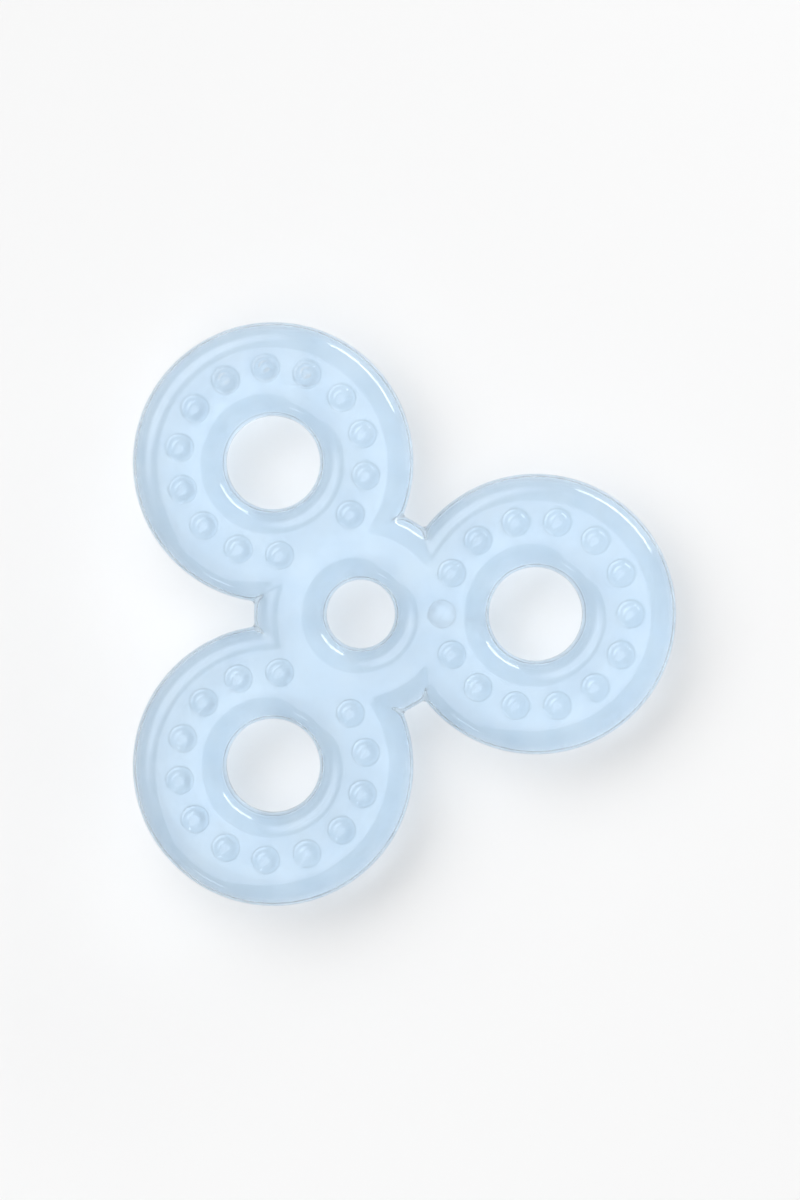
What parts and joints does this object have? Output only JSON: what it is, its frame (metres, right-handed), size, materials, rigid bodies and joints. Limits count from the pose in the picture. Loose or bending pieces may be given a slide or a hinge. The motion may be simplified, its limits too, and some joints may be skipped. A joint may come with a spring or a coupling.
{
  "type": "teething ring",
  "caption": "Flat liquid-filled teether: finger rings joined round a smaller hub ring, with chewing nubs on both faces.",
  "frame": {"origin": "on the axis of the hub's hole, in the seam plane halfway between the front and back faces", "axes": "+Z out of the front face along the hub's hole, +X towards one finger ring, +Y across the other two"},
  "size_m": [0.0987, 0.106, 0.0136],
  "materials": {
    "front_shell": "satin",
    "back_shell": "satin",
    "cooling_fill": "gloss",
    "fill_plug": "satin"
  },
  "bodies": {
    "root": {"front_shell": "front_shell", "back_shell": "back_shell", "cooling_fill": "cooling_fill", "fill_plug": "fill_plug"}
  },
  "joints": []
}
